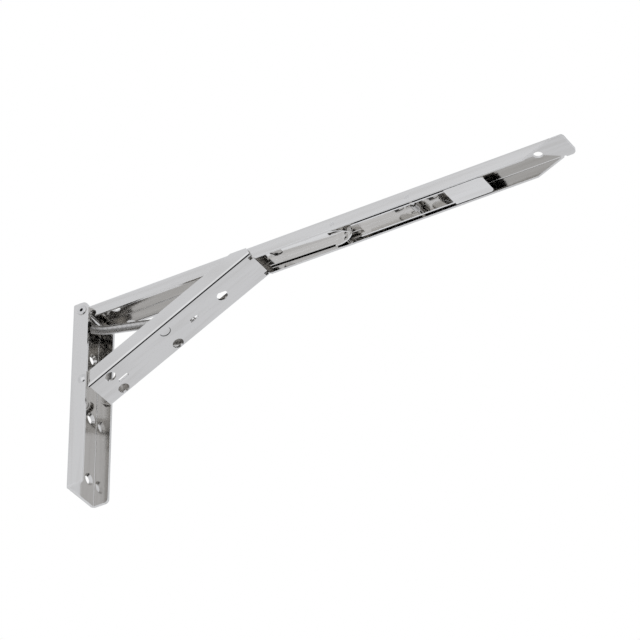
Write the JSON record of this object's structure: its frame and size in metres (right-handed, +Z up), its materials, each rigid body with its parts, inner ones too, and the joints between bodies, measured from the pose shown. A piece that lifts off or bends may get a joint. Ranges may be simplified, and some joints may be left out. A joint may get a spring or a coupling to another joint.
{
  "type": "folding shelf bracket",
  "caption": "Folding steel shelf bracket: a wall leg, a level arm and a spring-held brace of nested channels, let down by a long release lever under the arm.",
  "frame": {"origin": "centre of the wall screw pattern, on the leg's wall face", "axes": "+X away from the wall along the open arm, +Y across the width, +Z up"},
  "size_m": [0.35, 0.0326, 0.1356],
  "materials": {
    "channel_steel": "polished stainless steel sheet, brace and leg",
    "lever_steel": "polished pressed steel levers",
    "pin_steel": "bright steel pins, rivets and washers",
    "spring_steel": "drawn spring wire"
  },
  "bodies": {
    "leg": {"wall_leg": "channel_steel", "arm_pivot": "pin_steel", "brace_rivet_near": "pin_steel", "brace_rivet_far": "pin_steel", "arm_spacer_near": "pin_steel", "arm_spacer_far": "pin_steel"},
    "arm": {"arm": "channel_steel", "release_lever_pin": "pin_steel", "lock_rivet_near": "pin_steel", "lock_rivet_far": "pin_steel", "release_lever_spring": "spring_steel"},
    "brace": {"brace": "channel_steel"},
    "release_lever": {"release_lever": "lever_steel"},
    "lock_lever": {"lock_lever": "lever_steel"},
    "spring": {"tension_spring": "spring_steel"},
    "spring_hook": {"tension_spring_hook": "spring_steel"}
  },
  "joints": [
    {"name": "arm_fold", "type": "hinge", "parent": "leg", "child": "arm", "pos_m": [0.0075, 0, 0.06765], "axis": [0, 1, 0], "range_deg": [0, 90]},
    {"name": "brace_fold", "type": "hinge", "parent": "leg", "child": "brace", "pos_m": [0.0096, 0, 0.01495], "axis": [0, 1, 0], "range_deg": [0, 115.95]},
    {"name": "spring_swing", "type": "hinge", "parent": "leg", "child": "spring", "pos_m": [0.0075, 0, 0.06765], "axis": [0, 1, 0], "range_deg": [0, 72.1], "deforming": ["tension_spring"]},
    {"name": "spring_stretch", "type": "slide", "parent": "spring", "child": "spring_hook", "axis": [0.9748, 0, -0.2233], "range_m": [0, 0.0598], "deforming": ["tension_spring_hook"]},
    {"name": "lever_press", "type": "hinge", "parent": "arm", "child": "release_lever", "pos_m": [0.243, 0, 0.06745], "axis": [0, 1, 0], "range_deg": [-0.95, 0], "stiffness_Nm_per_rad": 0.8},
    {"name": "lock_press", "type": "hinge", "parent": "arm", "child": "lock_lever", "pos_m": [0.19, 0, 0.06745], "axis": [0, 1, 0], "range_deg": [-4.4, 0]}
  ],
  "couplings": [
    {"joint": "brace_fold", "follows": "arm_fold", "ratio": 1.2878},
    {"joint": "spring_swing", "follows": "arm_fold", "ratio": 0.8},
    {"joint": "spring_stretch", "follows": "arm_fold", "m_per_rad": 0.038},
    {"joint": "lock_press", "follows": "lever_press", "ratio": 4.6}
  ]
}
